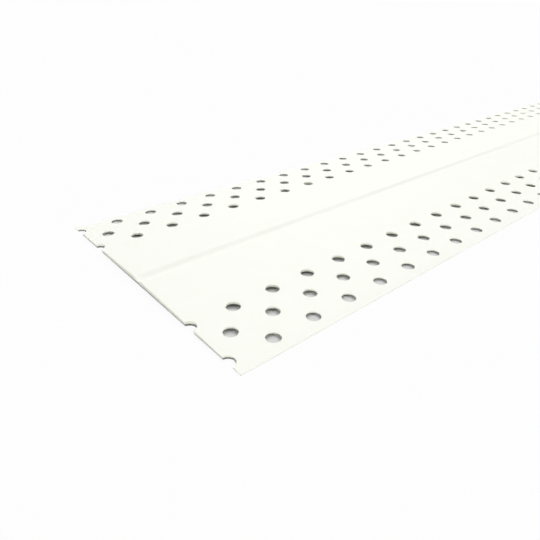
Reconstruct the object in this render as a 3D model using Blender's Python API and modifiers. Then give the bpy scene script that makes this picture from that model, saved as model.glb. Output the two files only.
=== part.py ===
"""Flexible drywall corner bead: one extruded strip of white vinyl, lying flat with its hinge groove up.

Metres. X runs along the stock, Y across it and Z up. The origin is on the floor, under its middle.
"""
import math

import bmesh
import bpy
from mathutils import Matrix, Vector

INCH = 0.0254

# The strip
LENGTH = 48 * INCH
WIDTH = 4.5 * INCH
SHOULDER_THICKNESS = 0.0014     # beside the hinge, where a flange is thickest
EDGE_THICKNESS = 0.00035        # at the outer edges, feathered to vanish under joint compound
CROWN = 0.0009                  # the middle of the underside stands this far off the floor
LIP_WIDTH = 0.0032              # the thin outer margin of a flange, which turns down to the floor
LIP_HEIGHT = 0.0004             # the underside stands this far off the floor where the lip starts

# The hinge: a groove along the middle of the face, which leaves a web thin enough to fold
GROOVE_WIDTH = 0.0042
GROOVE_FLOOR_WIDTH = 0.0030
HINGE_THICKNESS = 0.0006
SHOULDER_RADIUS = 0.0004        # where the face rolls over into the groove
GROOVE_RADIUS = 0.0005          # where the groove's walls meet its floor

# The key holes, three staggered rows in each flange
HOLE_DIAMETER = 3 / 16 * INCH
HOLE_PITCH = 5 / 8 * INCH
ROW_SPACING = 3 / 8 * INCH
ROW_TO_EDGE = 0.00575           # from the outer edge to the centres of the outer row
ROWS_PER_FLANGE = 3
HOLE_SIDES = 6
ARC_STEPS = 2                   # straight steps in each rounded corner of the section

BOTTOM_TO_TOP = CROWN + SHOULDER_THICKNESS
PUNCH_LENGTH = 3 * BOTTOM_TO_TOP


def clear_scene():
    for item in list(bpy.data.objects):
        bpy.data.objects.remove(item, do_unlink=True)


def new_collection(name):
    collection = bpy.data.collections.new(name)
    bpy.context.scene.collection.children.link(collection)
    return collection


def white_vinyl():
    """Extruded rigid PVC, white with a trace of cream."""
    material = bpy.data.materials.new("white_vinyl")
    material.use_nodes = True
    shader = material.node_tree.nodes["Principled BSDF"]
    shader.inputs["Base Color"].default_value = (0.90, 0.91, 0.87, 1)
    shader.inputs["Roughness"].default_value = 0.45
    shader.inputs["Metallic"].default_value = 0
    return material


def rounded(before, corner, after, radius):
    """Points along the arc that rounds an outline's corner, limited to half of its shorter side."""
    back = (before - corner).normalized()
    ahead = (after - corner).normalized()
    half_angle = back.angle(ahead) / 2
    shorter_side = min((before - corner).length, (after - corner).length)
    reach = min(radius / math.tan(half_angle), shorter_side / 2)
    arc_radius = reach * math.tan(half_angle)
    centre = corner + (back + ahead).normalized() * reach / math.cos(half_angle)
    start = (corner + back * reach - centre).normalized()
    end = (corner + ahead * reach - centre).normalized()
    turns = [start.slerp(end, step / ARC_STEPS) for step in range(ARC_STEPS + 1)]
    return [centre + turn * arc_radius for turn in turns]


def half_outline():
    """One half of the section, from the middle of the groove out along the face and back below it.

    The underside slopes from the crown to the lip, and there it turns down to the floor. The face
    falls faster, because the flange thins from its shoulder to its edge.
    """
    half_width = WIDTH / 2
    shoulder = GROOVE_WIDTH / 2
    lip = half_width - LIP_WIDTH
    underside_at_shoulder = CROWN - (CROWN - LIP_HEIGHT) * shoulder / lip
    thinning = (SHOULDER_THICKNESS - EDGE_THICKNESS) / (half_width - shoulder)
    groove_middle = Vector((0, CROWN + HINGE_THICKNESS))
    groove_corner = Vector((GROOVE_FLOOR_WIDTH / 2, CROWN + HINGE_THICKNESS))
    shoulder_corner = Vector((shoulder, underside_at_shoulder + SHOULDER_THICKNESS))
    lip_top = Vector((lip, LIP_HEIGHT + EDGE_THICKNESS + thinning * LIP_WIDTH))
    edge_top = Vector((half_width, EDGE_THICKNESS))
    edge_bottom = Vector((half_width, 0))
    lip_bottom = Vector((lip, LIP_HEIGHT))
    groove_arc = rounded(groove_middle, groove_corner, shoulder_corner, GROOVE_RADIUS)
    shoulder_arc = rounded(groove_corner, shoulder_corner, lip_top, SHOULDER_RADIUS)
    return groove_arc + shoulder_arc + [lip_top, edge_top, edge_bottom, lip_bottom]


def section_outline():
    """The closed section in (across, up), symmetric about the hinge."""
    right = half_outline()
    left = [Vector((-across, up)) for across, up in reversed(right)]
    return right + [Vector((0, CROWN))] + left


def extruded_strip(collection):
    """The section extruded along the stock, as a mesh whose X is the stock's length."""
    outline = section_outline()
    curve = bpy.data.curves.new("section", "CURVE")
    curve.dimensions = "2D"
    curve.fill_mode = "BOTH"
    curve.extrude = LENGTH / 2
    spline = curve.splines.new("POLY")
    spline.points.add(len(outline) - 1)
    for point, (across, up) in zip(spline.points, outline):
        point.co = (across, up, 0, 1)
    spline.use_cyclic_u = True
    drawn = bpy.data.objects.new("section", curve)
    collection.objects.link(drawn)
    bpy.context.view_layer.update()

    evaluated = drawn.evaluated_get(bpy.context.evaluated_depsgraph_get())
    mesh = bpy.data.meshes.new_from_object(evaluated)
    collection.objects.unlink(drawn)
    bpy.data.objects.remove(drawn, do_unlink=True)

    # the curve's own X, Y and Z become across, up and along
    mesh.transform(Matrix(((0, 0, 1, 0), (1, 0, 0, 0), (0, 1, 0, 0), (0, 0, 0, 1))))
    shape = bmesh.new()
    shape.from_mesh(mesh)
    bmesh.ops.remove_doubles(shape, verts=shape.verts, dist=1e-6)
    bmesh.ops.dissolve_limit(shape, angle_limit=math.radians(0.1), verts=shape.verts, edges=shape.edges)
    bmesh.ops.recalc_face_normals(shape, faces=shape.faces)
    shape.to_mesh(mesh)
    shape.free()

    strip = bpy.data.objects.new("corner_bead", mesh)
    collection.objects.link(strip)
    return strip


def row_punch(collection, name, across, first):
    """A row of round punches along the stock: its first hole's centre lies `first` from the cut end."""
    mesh = bpy.data.meshes.new(name)
    shape = bmesh.new()
    bmesh.ops.create_cone(shape, segments=HOLE_SIDES, cap_ends=True, depth=PUNCH_LENGTH,
                          radius1=HOLE_DIAMETER / 2, radius2=HOLE_DIAMETER / 2)
    shape.to_mesh(mesh)
    shape.free()
    punch = bpy.data.objects.new(name, mesh)
    punch.location = (first - LENGTH / 2, across, BOTTOM_TO_TOP / 2)
    punch.hide_render = True
    punch.display_type = "WIRE"
    collection.objects.link(punch)
    row = punch.modifiers.new("row", "ARRAY")
    row.use_relative_offset = False
    row.use_constant_offset = True
    row.constant_offset_displace = (HOLE_PITCH, 0, 0)
    row.count = math.floor((LENGTH - first) / HOLE_PITCH) + 1
    return punch


def punch_rows(strip, collection):
    """Punches the rows of both flanges. Every other row starts half a pitch from the cut end, and the
    rest start on it, so that the saw leaves half holes there."""
    for row in range(ROWS_PER_FLANGE):
        across = WIDTH / 2 - ROW_TO_EDGE - row * ROW_SPACING
        first = (row % 2) * HOLE_PITCH / 2
        for side, sign in (("right", 1), ("left", -1)):
            punch = row_punch(collection, f"punch_{side}_{row + 1}", sign * across, first)
            cut = strip.modifiers.new(punch.name, "BOOLEAN")
            cut.operation = "DIFFERENCE"
            cut.solver = "EXACT"
            cut.object = punch


def build():
    clear_scene()
    bead_collection = new_collection("drywall_corner_bead")
    cutters = new_collection("cutters")
    strip = extruded_strip(bead_collection)
    strip.data.materials.append(white_vinyl())
    punch_rows(strip, cutters)


build()
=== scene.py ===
# %% [markdown]
# # A stick of drywall corner bead
#
# Corner bead covers the line where two sheets of drywall meet. This kind is a flat strip of white
# vinyl. The groove along its middle is a hinge: the vinyl is thin there, so the strip folds to
# whatever angle the corner has. Joint compound squeezes through the holes in its two flanges and
# keys it to the wall.
#
# The real strip is extruded, punched while it moves along, and sawn to length. This file makes it in
# the same order: one stretch of the section with its holes, repeated along the stock, then sawn.

import math

import bmesh
import bpy
from mathutils import Matrix, Vector


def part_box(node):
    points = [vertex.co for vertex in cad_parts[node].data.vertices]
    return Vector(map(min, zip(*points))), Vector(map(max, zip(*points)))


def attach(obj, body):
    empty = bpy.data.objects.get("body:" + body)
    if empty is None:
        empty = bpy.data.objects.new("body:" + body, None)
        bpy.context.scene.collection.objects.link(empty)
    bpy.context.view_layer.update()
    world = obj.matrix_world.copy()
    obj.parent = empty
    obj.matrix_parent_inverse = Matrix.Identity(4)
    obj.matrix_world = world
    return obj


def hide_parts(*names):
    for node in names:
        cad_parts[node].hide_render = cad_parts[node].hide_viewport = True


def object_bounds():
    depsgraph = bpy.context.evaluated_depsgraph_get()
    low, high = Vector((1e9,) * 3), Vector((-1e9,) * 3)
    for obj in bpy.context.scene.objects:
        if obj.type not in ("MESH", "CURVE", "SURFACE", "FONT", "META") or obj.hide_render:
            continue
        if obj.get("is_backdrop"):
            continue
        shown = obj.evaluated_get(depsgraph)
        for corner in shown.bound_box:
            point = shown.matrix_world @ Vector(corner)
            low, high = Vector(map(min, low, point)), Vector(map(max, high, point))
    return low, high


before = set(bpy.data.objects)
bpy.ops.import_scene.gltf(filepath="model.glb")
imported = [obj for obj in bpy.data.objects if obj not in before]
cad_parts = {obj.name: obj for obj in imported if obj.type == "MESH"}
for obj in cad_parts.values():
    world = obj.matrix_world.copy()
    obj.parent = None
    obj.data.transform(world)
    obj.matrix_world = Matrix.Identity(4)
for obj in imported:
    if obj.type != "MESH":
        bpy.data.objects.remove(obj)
cad_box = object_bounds()
low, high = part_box("corner_bead")
length, width, height = high - low
print(f"the strip is {length:.4f} m long, {width:.4f} m wide and {height * 1000:.2f} mm high")

# %% [markdown]
# ## Sizes
#
# Length and width come from the frame. The section and the holes have their own sizes, in metres. The
# flanges taper from the hinge to the outer edges, so that compound can be feathered over them.

# %% The section and the holes
INCH = 0.0254
HALF_WIDTH = width / 2
SHOULDER_THICKNESS = 0.0014
EDGE_THICKNESS = 0.00035
CROWN = 0.0009                  # the middle of the underside stands this far off the floor
LIP_WIDTH = 0.0032              # the thin outer margin of a flange, which turns down to the floor
LIP_HEIGHT = 0.0004             # the underside stands this far off the floor where the lip starts
HINGE_THICKNESS = 0.0006
GROOVE_HALF_FLOOR = 0.0004      # the groove's wall is a smooth curve, from here off the hinge line
GROOVE_HALF_TOP = 0.0030        # to here
TAPER_START = 0.0021            # where the flange is as thick as its shoulder

HOLE_RADIUS = 3 / 32 * INCH
HOLE_PITCH = 5 / 8 * INCH
ROW_SPACING = 3 / 8 * INCH
ROW_TO_EDGE = 0.00575
ROWS_PER_FLANGE = 3
OUTER_MARGIN = 0.0005           # from the outer row's holes to the border of their tiles
ROLL_OVER_WIDTH = 0.00018       # the punch drags the rim down over this width
ROLL_OVER_SHARE = 0.12          # and over this share of the thickness

pitches = length / HOLE_PITCH
print(f"{pitches:.1f} hole pitches along the stock")

# %% [markdown]
# ## Helpers
#
# Colours are picked as sRGB hex values, the way a screen shows them, but shaders calculate in linear
# light. One function turns the first into the second.
#
# Node trees are built in code, so one small function adds a node, gives it its settings and connects
# it. It serves materials and geometry alike. A Mix node has sockets for every kind of data under the
# same names, so they are taken by number.

# %% Colour and nodes
MIX_A, MIX_B, MIX_COLOUR = 6, 7, 2      # the sockets of a Mix node for colours
MIX_FROM, MIX_TO, MIX_VECTOR = 4, 5, 1  # and for vectors


def linear(hex_colour):
    """An sRGB hex colour as linear red, green, blue and alpha."""
    channels = [int(hex_colour[i:i + 2], 16) / 255 for i in (0, 2, 4)]
    return [c / 12.92 if c <= 0.04045 else ((c + 0.055) / 1.055) ** 2.4 for c in channels] + [1.0]


def add_node(tree, kind, inputs=None, **settings):
    """Adds a node. An input takes a value, a node's socket, or a node, for its first output."""
    made = tree.nodes.new(kind)
    for name, value in settings.items():
        setattr(made, name, value)
    for name, value in (inputs or {}).items():
        if isinstance(value, bpy.types.Node):
            value = value.outputs[0]
        if isinstance(value, bpy.types.NodeSocket):
            tree.links.new(value, made.inputs[name])
        else:
            made.inputs[name].default_value = value
    return made


print(f"the sRGB grey 808080 is {linear('808080')[0]:.3f} in linear light")

# %% [markdown]
# ## Material: extruded rigid PVC
#
# Rigid PVC with white pigment is a little off white. Out of the die it has a satin skin, faintly
# streaked along the stock where the die's lips are not quite even. A plastic has an IOR near 1.5.
# Because the skin is satin, its roughness is near 0.5: highlights are broad and soft.
#
# The streaks are noise that is stretched a hundred times along X. Real ones are about half a
# millimetre apart and some thousandths deep, so they show only as a change of sheen. A second,
# coarser noise shades the pigment by a hair.

# %% What all rigid PVC shares
MM = 0.001
VINYL_WHITE = "F9FAF3"
VINYL_SHADE = "F7F8F0"
# painted shade: the cut faces' colour is darker and creamier than the skin's, for the hole walls and sawn
# ends
VINYL_CUT_PAINTED_SHADE = "E6E7D9"
PVC_IOR = 1.53


def new_pvc(name, colour, roughness):
    """A new rigid PVC, with its node tree and shader, for a surface's own look."""
    material = bpy.data.materials.new(name)
    material.use_nodes = True
    shader = material.node_tree.nodes["Principled BSDF"]
    shader.inputs["Base Color"].default_value = linear(colour)
    shader.inputs["IOR"].default_value = PVC_IOR
    shader.inputs["Roughness"].default_value = roughness
    return material, material.node_tree, shader


print(f"straight on, rigid PVC reflects {((PVC_IOR - 1) / (PVC_IOR + 1)) ** 2:.1%} of the light")

# %% Extruded rigid PVC
SATIN = 0.51                    # the skin's roughness
SATIN_RANGE = 0.06              # the streaks change it by this much either way
STREAK_SPACING = 0.5 * MM
STREAK_DEPTH = 0.004 * MM
STREAK_STRETCH = 100
MOTTLE_SIZE = 9 * MM

extruded_pvc, tree, shader = new_pvc("extruded_rigid_pvc", VINYL_WHITE, SATIN)
place = add_node(tree, "ShaderNodeTexCoord").outputs["Object"]
along = add_node(tree, "ShaderNodeMapping", {
    "Vector": place, "Scale": (1 / STREAK_STRETCH, 1, 1)})
streaks = add_node(tree, "ShaderNodeTexNoise", {
    "Vector": along, "Scale": 1 / STREAK_SPACING, "Detail": 3, "Roughness": 0.6})
mottle = add_node(tree, "ShaderNodeTexNoise", {
    "Vector": place, "Scale": 1 / MOTTLE_SIZE, "Detail": 2})
tint = add_node(tree, "ShaderNodeMix", {
    0: mottle, MIX_A: linear(VINYL_WHITE), MIX_B: linear(VINYL_SHADE)}, data_type="RGBA")
sheen = add_node(tree, "ShaderNodeMapRange", {
    "Value": streaks, "To Min": SATIN - SATIN_RANGE, "To Max": SATIN + SATIN_RANGE})
relief = add_node(tree, "ShaderNodeBump", {
    "Height": streaks, "Strength": 0.2, "Distance": STREAK_DEPTH})
tree.links.new(tint.outputs[MIX_COLOUR], shader.inputs["Base Color"])
tree.links.new(sheen.outputs[0], shader.inputs["Roughness"])
tree.links.new(relief.outputs[0], shader.inputs["Normal"])
print("material:", extruded_pvc.name)

# %% [markdown]
# ## Material: punched rigid PVC
#
# The wall of a punched hole is sheared and then torn, so it has no skin: it is rougher than the
# face and finely uneven. Its colour, shared by all cut faces, is creamier and darker than the face's:
# that is painted shade. The unevenness is a noise with a grain of a tenth of a millimetre.

# %% Punched rigid PVC
TORN = 0.6                      # roughness
TORN_GRAIN = 0.1 * MM
TORN_DEPTH = 0.02 * MM

# the hole walls get the darker cut colour, which is painted shade
punched_pvc, tree, shader = new_pvc("punched_rigid_pvc", VINYL_CUT_PAINTED_SHADE, TORN)
place = add_node(tree, "ShaderNodeTexCoord").outputs["Object"]
torn = add_node(tree, "ShaderNodeTexNoise", {
    "Vector": place, "Scale": 1 / TORN_GRAIN, "Detail": 2})
relief = add_node(tree, "ShaderNodeBump", {
    "Height": torn, "Strength": 0.4, "Distance": TORN_DEPTH})
tree.links.new(relief.outputs[0], shader.inputs["Normal"])
print("material:", punched_pvc.name)

# %% [markdown]
# ## Material: sawn rigid PVC
#
# A fine-toothed blade leaves the ends matt, with parallel marks 0.4 mm apart, where each tooth took
# its cut. The marks are a Wave texture whose bands lean a little, as the blade did. A Wave texture
# runs through 20 radians in each unit, which gives its scale.

# %% Sawn rigid PVC
MATT = 0.65                     # roughness
MARK_SPACING = 0.4 * MM
MARK_DEPTH = 0.03 * MM
MARK_LEAN = math.radians(20)
WAVE_RADIANS = 20

# the sawn ends get the same darker cut colour, which is painted shade
sawn_pvc, tree, shader = new_pvc("sawn_rigid_pvc", VINYL_CUT_PAINTED_SHADE, MATT)
place = add_node(tree, "ShaderNodeTexCoord").outputs["Object"]
leaning = add_node(tree, "ShaderNodeMapping", {"Vector": place, "Rotation": (MARK_LEAN, 0, 0)})
marks = add_node(tree, "ShaderNodeTexWave", {
    "Vector": leaning, "Scale": 2 * math.pi / (WAVE_RADIANS * MARK_SPACING),
    "Distortion": 2, "Detail": 2}, bands_direction="Y")
relief = add_node(tree, "ShaderNodeBump", {
    "Height": marks, "Strength": 0.5, "Distance": MARK_DEPTH})
tree.links.new(relief.outputs[0], shader.inputs["Normal"])
print("material:", sawn_pvc.name)

# %% [markdown]
# ## The perforated extrusion
#
# The strip has 458 holes. A Boolean could cut them, as part of the solid, but it leaves faces with
# thousands of corners, and no room for the rim that the punch rolls over. Here Geometry Nodes make
# one tile with a hole in it, and the tiles fit together like paving.
#
# The tree has named inputs for every size. It works on a flat drawing first: X along the stock, Y
# across it, and Z only a level, 0 on the underside and 1 on the face. Real heights come afterwards.

# %% The tree and its sizes
extrusion = bpy.data.node_groups.new("perforated_extrusion", "GeometryNodeTree")
extrusion_sizes = {
    "Hole Radius": HOLE_RADIUS,
    "Hole Pitch": HOLE_PITCH,
    "Row Spacing": ROW_SPACING,
    "Rows": ROWS_PER_FLANGE,
    "Outer Row": HALF_WIDTH - ROW_TO_EDGE,
    "Outer Border": HALF_WIDTH - ROW_TO_EDGE + HOLE_RADIUS + OUTER_MARGIN,
    "Roll Over Width": ROLL_OVER_WIDTH,
    "Roll Over Share": ROLL_OVER_SHARE,
    "Half Width": HALF_WIDTH,
    "Groove Floor": GROOVE_HALF_FLOOR,
    "Groove Top": GROOVE_HALF_TOP,
    "Taper Start": TAPER_START,
    "Crown": CROWN,
    "Lip Start": HALF_WIDTH - LIP_WIDTH,
    "Lip Height": LIP_HEIGHT,
    "Hinge Thickness": HINGE_THICKNESS,
    "Shoulder Thickness": SHOULDER_THICKNESS,
    "Edge Thickness": EDGE_THICKNESS,
    "First Stretch": -length / 2 - HOLE_PITCH,
    "Stretches": math.ceil(pitches) + 2,
}
for name, value in extrusion_sizes.items():
    kind = "NodeSocketInt" if isinstance(value, int) else "NodeSocketFloat"
    extrusion.interface.new_socket(name, in_out="INPUT", socket_type=kind)
extrusion.interface.new_socket("Material", in_out="INPUT", socket_type="NodeSocketMaterial")
extrusion.interface.new_socket("Mesh", in_out="OUTPUT", socket_type="NodeSocketGeometry")
size = add_node(extrusion, "NodeGroupInput").outputs
print(f"{len(extrusion_sizes)} sizes")

# %% [markdown]
# ### The tile round one hole
#
# A tile is a grid that gets bent into shape. The grid's X counts 24 steps round the hole, and its Y
# counts five rings: the tile's border on the face, the rim where the roll-over starts, the rim where
# it ends, the bottom of the wall, and the tile's border on the underside.
#
# The border has 8 steps along the stock and 4 across. Eight is even, so a row that is shifted by half
# a pitch still meets its neighbour corner to corner, and the mesh has no gaps.

# %% Steps and rings
STEPS_ALONG = 8
STEPS_ACROSS = 4
STEPS_ROUND = 2 * (STEPS_ALONG + STEPS_ACROSS)
RINGS = 5
UP = (0, 0, 1)

tile_grid = add_node(extrusion, "GeometryNodeMeshGrid", {
    "Size X": STEPS_ROUND, "Size Y": RINGS - 1, "Vertices X": STEPS_ROUND + 1, "Vertices Y": RINGS})
position = add_node(extrusion, "GeometryNodeInputPosition")
on_grid = add_node(extrusion, "ShaderNodeSeparateXYZ", {0: position})
step = add_node(extrusion, "ShaderNodeMath", {0: on_grid.outputs["X"], 1: STEPS_ROUND / 2})
ring = add_node(extrusion, "ShaderNodeMath", {0: on_grid.outputs["Y"], 1: (RINGS - 1) / 2})
print(f"{STEPS_ROUND} steps round a hole")

# %% The circle and the border
angle = add_node(extrusion, "ShaderNodeMath", {
    0: step, 1: 2 * math.pi / STEPS_ROUND}, operation="MULTIPLY")
circle = add_node(extrusion, "ShaderNodeVectorRotate", {
    "Vector": (1, 0, 0), "Angle": angle}, rotation_type="Z_AXIS")

half_round = STEPS_ROUND / 2
from_right = add_node(extrusion, "ShaderNodeMath", {0: step, 1: half_round}, operation="PINGPONG")
border_x = add_node(extrusion, "ShaderNodeMapRange", {
    "Value": from_right, "From Min": STEPS_ACROSS / 2, "From Max": STEPS_ACROSS / 2 + STEPS_ALONG,
    "To Min": 0.5, "To Max": -0.5})
quarter_back = add_node(extrusion, "ShaderNodeMath", {
    0: step, 1: half_round / 2}, operation="SUBTRACT")
from_top = add_node(extrusion, "ShaderNodeMath", {
    0: quarter_back, 1: half_round}, operation="PINGPONG")
border_y = add_node(extrusion, "ShaderNodeMapRange", {
    "Value": from_top, "From Min": STEPS_ALONG / 2, "From Max": STEPS_ALONG / 2 + STEPS_ACROSS,
    "To Min": 0.5, "To Max": -0.5})
border_share = add_node(extrusion, "ShaderNodeCombineXYZ", {"X": border_x, "Y": border_y})
tile_size = add_node(extrusion, "ShaderNodeCombineXYZ", {
    "X": size["Hole Pitch"], "Y": size["Row Spacing"]})
border = add_node(extrusion, "ShaderNodeVectorMath", {
    0: border_share, 1: tile_size}, operation="MULTIPLY")
print(f"each step turns {360 / STEPS_ROUND:g} degrees round the hole")

# %% The five rings of a tile
rim_radius = add_node(extrusion, "ShaderNodeMath", {
    0: size["Hole Radius"], 1: size["Roll Over Width"]})
rim_level = add_node(extrusion, "ShaderNodeMath", {
    0: 1, 1: size["Roll Over Share"]}, operation="SUBTRACT")
rim_height = add_node(extrusion, "ShaderNodeCombineXYZ", {"Z": rim_level})
face_border = add_node(extrusion, "ShaderNodeVectorMath", {0: border, 1: UP})
face_rim = add_node(extrusion, "ShaderNodeVectorMath", {
    0: circle, 1: rim_radius, 2: UP}, operation="MULTIPLY_ADD")
wall_bottom = add_node(extrusion, "ShaderNodeVectorMath", {
    0: circle, 1: size["Hole Radius"]}, operation="MULTIPLY")
wall_top = add_node(extrusion, "ShaderNodeVectorMath", {0: wall_bottom, 1: rim_height})

ring_number = add_node(extrusion, "FunctionNodeFloatToInt", {0: ring}, rounding_mode="ROUND")
ring_place = add_node(extrusion, "GeometryNodeIndexSwitch", {"Index": ring_number},
                      data_type="VECTOR")
ring_points = [face_border, face_rim, wall_top, wall_bottom, border]
while len(ring_place.index_switch_items) < len(ring_points):
    ring_place.index_switch_items.new()
for number, point in enumerate(ring_points):
    extrusion.links.new(point.outputs[0], ring_place.inputs[number + 1])
tile = add_node(extrusion, "GeometryNodeSetPosition", {
    "Geometry": tile_grid, "Position": ring_place})
print(f"{STEPS_ROUND * (RINGS - 1)} faces in a tile")

# %% [markdown]
# ### Three staggered rows
#
# The rows of a flange are three points on a line across it, and each odd one is moved along by half a
# pitch. A tile is placed on each. Instances are only references, so Realize Instances turns them into
# mesh before their points are moved one by one.
#
# Just outside the outer holes the flange bends down. The outer tiles would reach past that bend, so
# their outer border is pulled in to it.

# %% The rows of one flange
next_row = add_node(extrusion, "ShaderNodeMath", {
    0: size["Row Spacing"], 1: -1}, operation="MULTIPLY")
first_row_at = add_node(extrusion, "ShaderNodeCombineXYZ", {"Y": size["Outer Row"]})
next_row_by = add_node(extrusion, "ShaderNodeCombineXYZ", {"Y": next_row})
row_line = add_node(extrusion, "GeometryNodeMeshLine", {
    "Count": size["Rows"], "Start Location": first_row_at, "Offset": next_row_by})
row_index = add_node(extrusion, "GeometryNodeInputIndex")
odd_row = add_node(extrusion, "ShaderNodeMath", {0: row_index, 1: 2}, operation="MODULO")
half_pitch = add_node(extrusion, "ShaderNodeMath", {
    0: size["Hole Pitch"], 1: 0.5}, operation="MULTIPLY")
stagger = add_node(extrusion, "ShaderNodeMath", {0: odd_row, 1: half_pitch}, operation="MULTIPLY")
stagger_by = add_node(extrusion, "ShaderNodeCombineXYZ", {"X": stagger})
row_centres = add_node(extrusion, "GeometryNodeSetPosition", {
    "Geometry": row_line, "Offset": stagger_by})
row_tiles = add_node(extrusion, "GeometryNodeInstanceOnPoints", {
    "Points": row_centres, "Instance": tile})
whole_rows = add_node(extrusion, "GeometryNodeRealizeInstances", {"Geometry": row_tiles})
in_rows = add_node(extrusion, "ShaderNodeSeparateXYZ", {0: position})
pulled_in = add_node(extrusion, "ShaderNodeMath", {
    0: in_rows.outputs["Y"], 1: size["Outer Border"]}, operation="MINIMUM")
row_place = add_node(extrusion, "ShaderNodeCombineXYZ", {
    "X": in_rows.outputs["X"], "Y": pulled_in, "Z": in_rows.outputs["Z"]})
rows = add_node(extrusion, "GeometryNodeSetPosition", {
    "Geometry": whole_rows, "Position": row_place})
print(f"{ROWS_PER_FLANGE} rows, {ROW_SPACING / MM:.3f} mm apart")

# %% [markdown]
# ### The plain bands
#
# Between the rows and the hinge, and outside the rows, the strip is plain. These bands are all the
# same shape, a grid between two lines, so a band is a node group of its own, with its two lines as
# inputs. Where the second line is nearer to the hinge than the first, the band faces down.

# %% The node group for a band
band_group = bpy.data.node_groups.new("band", "GeometryNodeTree")
for name, kind in (("Length", "Float"), ("Columns", "Int"), ("From", "Vector"), ("To", "Vector")):
    band_group.interface.new_socket(name, in_out="INPUT", socket_type="NodeSocket" + kind)
band_group.interface.new_socket("Mesh", in_out="OUTPUT", socket_type="NodeSocketGeometry")
band_size = add_node(band_group, "NodeGroupInput").outputs
lines = add_node(band_group, "ShaderNodeMath", {0: band_size["Columns"], 1: 1})
flat = add_node(band_group, "GeometryNodeMeshGrid", {
    "Size X": band_size["Length"], "Size Y": 1, "Vertices X": STEPS_ALONG + 1, "Vertices Y": lines})
on_flat = add_node(band_group, "ShaderNodeSeparateXYZ", {
    0: add_node(band_group, "GeometryNodeInputPosition")})
share = add_node(band_group, "ShaderNodeMath", {0: on_flat.outputs["Y"], 1: 0.5})
across = add_node(band_group, "ShaderNodeMix", {
    0: share, MIX_FROM: band_size["From"], MIX_TO: band_size["To"]}, data_type="VECTOR")
along_x = add_node(band_group, "ShaderNodeCombineXYZ", {"X": on_flat.outputs["X"]})
band_place = add_node(band_group, "ShaderNodeVectorMath", {0: across.outputs[MIX_VECTOR], 1: along_x})
placed = add_node(band_group, "GeometryNodeSetPosition", {"Geometry": flat, "Position": band_place})
add_node(band_group, "NodeGroupOutput", {"Mesh": placed})
print("node group:", band_group.name)

# %% The bands of half the section
GROOVE_COLUMNS = 8

half_spacing = add_node(extrusion, "ShaderNodeMath", {
    0: size["Row Spacing"], 1: 0.5}, operation="MULTIPLY")
whole_outside = add_node(extrusion, "ShaderNodeMath", {0: size["Outer Row"], 1: half_spacing})
rows_width = add_node(extrusion, "ShaderNodeMath", {
    0: size["Row Spacing"], 1: size["Rows"]}, operation="MULTIPLY")
rows_inside = add_node(extrusion, "ShaderNodeMath", {
    0: whole_outside, 1: rows_width}, operation="SUBTRACT")
rows_outside = size["Outer Border"]

FACE, UNDERSIDE = 1, 0
band_lines = [
    (0, FACE, size["Groove Floor"], FACE, 1),
    (size["Groove Floor"], FACE, size["Groove Top"], FACE, GROOVE_COLUMNS),
    (size["Groove Top"], FACE, rows_inside, FACE, 1),
    (rows_outside, FACE, size["Half Width"], FACE, 1),
    (size["Half Width"], FACE, size["Half Width"], UNDERSIDE, 1),
    (size["Half Width"], UNDERSIDE, rows_outside, UNDERSIDE, 1),
    (rows_inside, UNDERSIDE, 0, UNDERSIDE, 1),
]
flat_half = add_node(extrusion, "GeometryNodeJoinGeometry", {0: rows})
for from_y, from_level, to_y, to_level, columns in band_lines:
    start = add_node(extrusion, "ShaderNodeCombineXYZ", {"Y": from_y, "Z": from_level})
    end = add_node(extrusion, "ShaderNodeCombineXYZ", {"Y": to_y, "Z": to_level})
    band = add_node(extrusion, "GeometryNodeGroup", node_tree=band_group)
    extrusion.links.new(size["Hole Pitch"], band.inputs["Length"])
    band.inputs["Columns"].default_value = columns
    extrusion.links.new(start.outputs[0], band.inputs["From"])
    extrusion.links.new(end.outputs[0], band.inputs["To"])
    extrusion.links.new(band.outputs[0], flat_half.inputs[0])
print(f"{len(band_lines)} bands beside the rows")

# %% [markdown]
# ### From levels to heights
#
# Now the flat drawing gets its real section, from Map Range nodes. Two lines make the underside: a
# shallow one from the crown to the lip, and a steep one from there down to the floor. The lower of
# the two counts. The flange's thickness falls from the shoulder to the edge. And in the groove, a
# smooth step leads from the hinge's thickness up to the flange's, so that the wall is rounded at its
# top and its foot, as extruded plastic is.

# %% The section
in_drawing = add_node(extrusion, "ShaderNodeSeparateXYZ", {0: position})
drawn_y = in_drawing.outputs["Y"]
under_flange = add_node(extrusion, "ShaderNodeMapRange", {
    "Value": drawn_y, "From Min": 0, "From Max": size["Lip Start"],
    "To Min": size["Crown"], "To Max": size["Lip Height"]}, clamp=False)
under_lip = add_node(extrusion, "ShaderNodeMapRange", {
    "Value": drawn_y, "From Min": size["Half Width"], "From Max": size["Lip Start"],
    "To Min": 0, "To Max": size["Lip Height"]}, clamp=False)
underside = add_node(extrusion, "ShaderNodeMath", {
    0: under_flange, 1: under_lip}, operation="MINIMUM")
flange = add_node(extrusion, "ShaderNodeMapRange", {
    "Value": drawn_y, "From Min": size["Taper Start"], "From Max": size["Half Width"],
    "To Min": size["Shoulder Thickness"], "To Max": size["Edge Thickness"]})
thickness = add_node(extrusion, "ShaderNodeMapRange", {
    "Value": drawn_y, "From Min": size["Groove Floor"], "From Max": size["Groove Top"],
    "To Min": size["Hinge Thickness"], "To Max": flange}, interpolation_type="SMOOTHSTEP")
surface = add_node(extrusion, "ShaderNodeMath", {
    0: in_drawing.outputs["Z"], 1: thickness, 2: underside}, operation="MULTIPLY_ADD")
real_place = add_node(extrusion, "ShaderNodeCombineXYZ", {
    "X": in_drawing.outputs["X"], "Y": drawn_y, "Z": surface})
half_stretch = add_node(extrusion, "GeometryNodeSetPosition", {
    "Geometry": flat_half, "Position": real_place})
print(f"a flange tapers from {SHOULDER_THICKNESS / MM:g} to {EDGE_THICKNESS / MM:g} mm")

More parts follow.
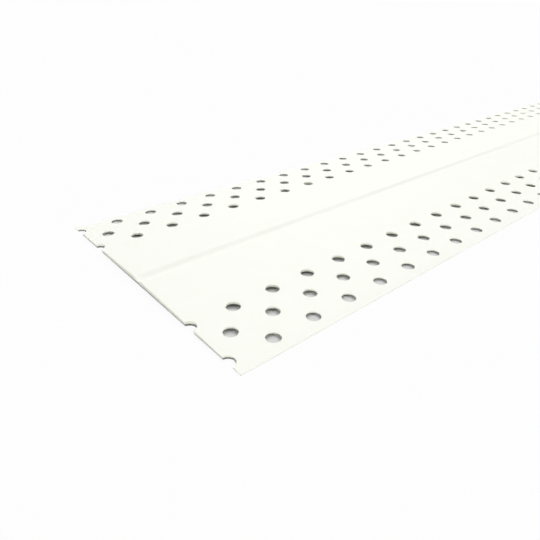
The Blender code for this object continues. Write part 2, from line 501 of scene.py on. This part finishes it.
# %% [markdown]
# ### Mirrored, and repeated along the stock
#
# The other flange is the mirror image. A mirrored mesh is inside out, so its faces are flipped. The
# finished stretch, one pitch long, is then placed on a line of points. There is one stretch more than
# needed at each end, which the saw takes off.

# %% The whole extrusion
mirrored = add_node(extrusion, "GeometryNodeTransform", {
    "Geometry": half_stretch, "Scale": (1, -1, 1)})
turned_out = add_node(extrusion, "GeometryNodeFlipFaces", {"Mesh": mirrored})
stretch = add_node(extrusion, "GeometryNodeJoinGeometry", {0: half_stretch})
extrusion.links.new(turned_out.outputs[0], stretch.inputs[0])

first_at = add_node(extrusion, "ShaderNodeCombineXYZ", {"X": size["First Stretch"]})
next_by = add_node(extrusion, "ShaderNodeCombineXYZ", {"X": size["Hole Pitch"]})
stock_line = add_node(extrusion, "GeometryNodeMeshLine", {
    "Count": size["Stretches"], "Start Location": first_at, "Offset": next_by})
stretches = add_node(extrusion, "GeometryNodeInstanceOnPoints", {
    "Points": stock_line, "Instance": stretch})
realized = add_node(extrusion, "GeometryNodeRealizeInstances", {"Geometry": stretches})
painted = add_node(extrusion, "GeometryNodeSetMaterial", {
    "Geometry": realized, "Material": size["Material"]})
add_node(extrusion, "NodeGroupOutput", {"Mesh": painted})
print(f"{len(extrusion.nodes)} nodes")

# %% Making the mesh
maker = bpy.data.objects.new("extrusion_maker", bpy.data.meshes.new("extrusion_maker"))
bpy.context.scene.collection.objects.link(maker)
modifier = maker.modifiers.new("extrusion", "NODES")
modifier.node_group = extrusion
for socket in extrusion.interface.items_tree:
    if socket.in_out == "INPUT":
        modifier[socket.identifier] = extrusion_sizes.get(socket.name, extruded_pvc)
evaluated = maker.evaluated_get(bpy.context.evaluated_depsgraph_get())
strip_mesh = bpy.data.meshes.new_from_object(evaluated)
strip_mesh.name = "corner_bead_strip"
bpy.data.objects.remove(maker)
print(f"{len(strip_mesh.polygons)} faces before sawing")

# %% [markdown]
# ## Sawing to length
#
# Bisect cuts the mesh with a plane and clears what lies beyond it. Neither end's place depends on the
# holes. At the photographed end the saw went through the middle of a hole in the outer and the inner
# rows, and left half-round notches.
#
# Each cut leaves the section open, so its boundary is filled. The walls of the holes and the ends
# get their own materials, by the way their faces point. Clearing the slots of a mesh resets what its
# faces use, so the new slots are in place before the faces are written.

# %% The saw cuts
WELD = 1e-6

shape = bmesh.new()
shape.from_mesh(strip_mesh)
bmesh.ops.remove_doubles(shape, verts=shape.verts, dist=WELD)
for side in (-1, 1):
    everything = shape.verts[:] + shape.edges[:] + shape.faces[:]
    bmesh.ops.bisect_plane(shape, geom=everything, dist=WELD, plane_co=(side * length / 2, 0, 0),
                           plane_no=(side, 0, 0), clear_outer=True)
open_edges = [edge for edge in shape.edges if edge.is_boundary]
bmesh.ops.holes_fill(shape, edges=open_edges, sides=0)
bmesh.ops.recalc_face_normals(shape, faces=shape.faces)
print(f"{len(open_edges)} open edges filled, {sum(e.is_boundary for e in shape.edges)} left")

# %% Materials by the way a face points
EXTRUDED, PUNCHED, SAWN = range(3)
UPRIGHT = 0.2                   # the normal of a hole's wall rises less than this
ENDWAYS = 0.999                 # that of a sawn end points along the stock more than this

for face in shape.faces:
    face.smooth = True
    centre = face.calc_center_median()
    if abs(face.normal.x) > ENDWAYS and abs(abs(centre.x) - length / 2) < WELD:
        face.material_index = SAWN
    elif abs(face.normal.z) < UPRIGHT and abs(centre.y) < HALF_WIDTH - WELD:
        face.material_index = PUNCHED
    else:
        face.material_index = EXTRUDED
face_materials = [face.material_index for face in shape.faces]
strip_mesh.materials.clear()
for material in (extruded_pvc, punched_pvc, sawn_pvc):
    strip_mesh.materials.append(material)
shape.to_mesh(strip_mesh)
shape.free()
print("extruded, punched and sawn faces:", [face_materials.count(i) for i in range(3)])

# %% [markdown]
# ## Shading the rims
#
# The faces are shaded smooth, and edges over 45 degrees are kept sharp: the foot of a hole, its wall
# below the roll-over, and the saw cuts. A Weighted Normal modifier makes the large flat faces decide
# the normals at their borders, so the face stays flat right up to the rim, and only the rim is round.

# %% Sharp edges and weighted normals
SHARP_ANGLE = math.radians(45)

strip_mesh.set_sharp_from_angle(angle=SHARP_ANGLE)
strip = bpy.data.objects.new("corner_bead_strip", strip_mesh)
bpy.context.scene.collection.objects.link(strip)
weighted = strip.modifiers.new("weighted_normals", "WEIGHTED_NORMAL")
weighted.keep_sharp = True
triangles = sum(len(face.vertices) - 2 for face in strip_mesh.polygons)
print(f"{strip.name}: {triangles} triangles")

# %% The strip stands for the solid
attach(strip, "root")
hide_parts("corner_bead")
print(strip.name, "stands for corner_bead")

# %% [markdown]
# ## The floor
#
# The photographed strip lies on plain white, and its picture was cut out along its outline: the floor
# outside is pure white, but what shows through the holes kept its shade. The floor here does the
# same. It is a large matt plane of light grey. Where the camera or a reflection sees it outside the
# strip, most of it is white light of strength 1, and the rest is the real surface, with the strip's
# shadow. The world is white to them in the same way, so both use one function.
#
# The outline is a rectangle less the half-round notches of the sawn end. Folding Y twice with
# Absolute, first about the hinge and then about the middle row, lays all four notches on one circle.
# The cut-out runs a little beside the real outline: a thin line of shadow is left below the sawn end,
# round its notches and along the edges.

# %% What the camera and reflections see
def seen_rays(tree):
    """1 for a ray from the camera, a reflection or a refraction, 0 for one that gathers light."""
    path = add_node(tree, "ShaderNodeLightPath").outputs
    seen = add_node(tree, "ShaderNodeMath", {
        0: path["Is Camera Ray"], 1: path["Is Glossy Ray"]}, operation="MAXIMUM")
    return add_node(tree, "ShaderNodeMath", {
        0: seen, 1: path["Is Transmission Ray"]}, operation="MAXIMUM")


print("seen rays: camera, glossy and transmission")

# %% Where the floor is outside the strip's outline
MIDDLE_ROW = HALF_WIDTH - ROW_TO_EDGE - ROW_SPACING
END_INSET = 0.0001              # the white floor reaches this far under the sawn end
NOTCH_INSET = 0.0002            # and stays this far off a notch's wall
EDGE_OUTSET = 0.00004           # and this far off an edge

floor_material = bpy.data.materials.new("matt_white_backdrop")
floor_material.use_nodes = True
tree = floor_material.node_tree
on_floor = add_node(tree, "ShaderNodeSeparateXYZ", {
    0: add_node(tree, "ShaderNodeTexCoord").outputs["Object"]})
from_hinge = add_node(tree, "ShaderNodeMath", {0: on_floor.outputs["Y"]}, operation="ABSOLUTE")
from_middle = add_node(tree, "ShaderNodeMath", {0: on_floor.outputs["X"]}, operation="ABSOLUTE")
past_edge = add_node(tree, "ShaderNodeMath", {
    0: from_hinge, 1: HALF_WIDTH + EDGE_OUTSET}, operation="GREATER_THAN")
past_end = add_node(tree, "ShaderNodeMath", {
    0: from_middle, 1: length / 2 - END_INSET}, operation="GREATER_THAN")

from_cut = add_node(tree, "ShaderNodeMath", {0: on_floor.outputs["X"], 1: length / 2})
to_row = add_node(tree, "ShaderNodeMath", {0: from_hinge, 1: MIDDLE_ROW}, operation="SUBTRACT")
to_row = add_node(tree, "ShaderNodeMath", {0: to_row}, operation="ABSOLUTE")
to_row = add_node(tree, "ShaderNodeMath", {0: to_row, 1: ROW_SPACING}, operation="SUBTRACT")
to_notch = add_node(tree, "ShaderNodeCombineXYZ", {"X": from_cut, "Y": to_row})
notch_distance = add_node(tree, "ShaderNodeVectorMath", {0: to_notch}, operation="LENGTH")
in_notch = add_node(tree, "ShaderNodeMath", {
    0: notch_distance.outputs["Value"], 1: HOLE_RADIUS - NOTCH_INSET}, operation="LESS_THAN")
outside = add_node(tree, "ShaderNodeMath", {0: past_edge, 1: past_end}, operation="MAXIMUM")
outside = add_node(tree, "ShaderNodeMath", {0: outside, 1: in_notch}, operation="MAXIMUM")
print(f"the middle row lies {MIDDLE_ROW / MM:.3f} mm from the hinge")

# %% The floor
FLOOR_SIZE = 60                 # in metres, so that its far side lies at the horizon
FLOOR_GREY = "DCDCDC"
WHITE_SHARE = 0.95

floor_shader = tree.nodes["Principled BSDF"]
floor_shader.inputs["Base Color"].default_value = linear(FLOOR_GREY)
floor_shader.inputs["Roughness"].default_value = 1
floor_shader.inputs["Specular IOR Level"].default_value = 0
seen_outside = add_node(tree, "ShaderNodeMath", {
    0: seen_rays(tree), 1: outside}, operation="MULTIPLY")
white_share = add_node(tree, "ShaderNodeMath", {
    0: seen_outside, 1: WHITE_SHARE}, operation="MULTIPLY")
white = add_node(tree, "ShaderNodeEmission", {"Color": (1, 1, 1, 1), "Strength": 1})
whitened = add_node(tree, "ShaderNodeMixShader", {0: white_share, 1: floor_shader, 2: white})
tree.links.new(whitened.outputs[0], tree.nodes["Material Output"].inputs["Surface"])

floor_mesh = bpy.data.meshes.new("floor")
shape = bmesh.new()
bmesh.ops.create_grid(shape, x_segments=1, y_segments=1, size=FLOOR_SIZE / 2)
shape.to_mesh(floor_mesh)
shape.free()
floor_mesh.materials.append(floor_material)
floor = bpy.data.objects.new("floor", floor_mesh)
bpy.context.scene.collection.objects.link(floor)
floor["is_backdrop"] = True
print("floor:", floor_material.name)

# %% [markdown]
# ## Light
#
# The floor seen through the photographed holes tells where the light came from, because every lamp
# throws its own shadow of the rim on it. It is darkest under the far wall of a hole: a broad lamp
# stands behind the strip. Paler crescents at either side show one lamp on the right and one on the
# left. And the far walls themselves are bright, so a low lamp stands behind the camera: it reaches
# the walls and passes over the floor in the holes.
#
# They are sun lamps with a wide angle, because their strength is the same all along the strip. The
# world adds a little light from everywhere. Reflections see only the white world, not the lamps, so
# the satin face is as even as in the photograph.

# %% The four lamps
LAMPS = {
    "back_light": dict(strength=2.5, width=36, elevation=34, comes_from=(0.71, 0.70)),
    "right_light": dict(strength=1.2, width=24, elevation=38, comes_from=(0.95, -0.32)),
    "left_light": dict(strength=0.85, width=28, elevation=42, comes_from=(-0.61, 0.79)),
    "front_light": dict(strength=2.3, width=20, elevation=9, comes_from=(-0.65, -0.76)),
}
for name, lamp in LAMPS.items():
    sun_data = bpy.data.lights.new(name, "SUN")
    sun_data.energy = lamp["strength"]
    sun_data.angle = math.radians(lamp["width"])
    sun = bpy.data.objects.new(name, sun_data)
    bpy.context.scene.collection.objects.link(sun)
    rise = math.tan(math.radians(lamp["elevation"]))
    from_light = Vector((*lamp["comes_from"], rise))
    sun.rotation_euler = from_light.to_track_quat("Z", "Y").to_euler()
    sun.visible_glossy = False
    print(name, lamp["strength"])

# %% The world
FILL_STRENGTH = 0.03

world = bpy.data.worlds.new("studio")
bpy.context.scene.world = world
world.use_nodes = True
tree = world.node_tree
tree.nodes.clear()
strength = add_node(tree, "ShaderNodeMapRange", {
    "Value": seen_rays(tree), "To Min": FILL_STRENGTH, "To Max": 1})
sky = add_node(tree, "ShaderNodeBackground", {"Color": (1, 1, 1, 1), "Strength": strength})
add_node(tree, "ShaderNodeOutputWorld", {"Surface": sky})

scene = bpy.context.scene
scene.view_settings.view_transform = "Standard"
print("world:", world.name)

# %% [markdown]
# ## The camera
#
# The holes lie on a lattice whose sizes are known, so the camera was fitted to them and to the
# corners of the sawn end. The place, direction and lens below put every one within four pixels of
# where the photograph shows it. What is left is the bend of the real lens.

# %% The camera
CAMERA_FROM_CUT_END = Vector((-0.05187, -0.12939, 0.08311))
CAMERA_FORWARD = Vector((0.5596, 0.6580, -0.5038)).normalized()
CAMERA_RIGHT = Vector((0.7637, -0.6455, 0.0052))
LENS = 30.93

camera_data = bpy.data.cameras.new("camera")
camera_data.lens = LENS
camera_data.clip_start = 0.01
camera_data.clip_end = 200
camera = bpy.data.objects.new("camera", camera_data)
scene.collection.objects.link(camera)
camera_up = CAMERA_RIGHT.cross(CAMERA_FORWARD).normalized()
camera_right = CAMERA_FORWARD.cross(camera_up)
turn = Matrix((camera_right, camera_up, -CAMERA_FORWARD)).transposed()
camera.matrix_world = Matrix.LocRotScale(
    CAMERA_FROM_CUT_END - Vector((length / 2, 0, 0)), turn.to_quaternion(), None)
scene.camera = camera
print(f"the camera is {CAMERA_FROM_CUT_END.z / MM:.0f} mm above the floor")

# %% The boxes, and the end
boxes = {"cad": [list(corner) for corner in cad_box], "visual": [list(corner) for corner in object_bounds()]}
for name, cad_corner, visual_corner in zip(("low", "high"), boxes["cad"], boxes["visual"]):
    differences = [round((v - c) / MM, 3) for c, v in zip(cad_corner, visual_corner)]
    print(f"the visual's {name} corner lies {differences} mm from the solid's")
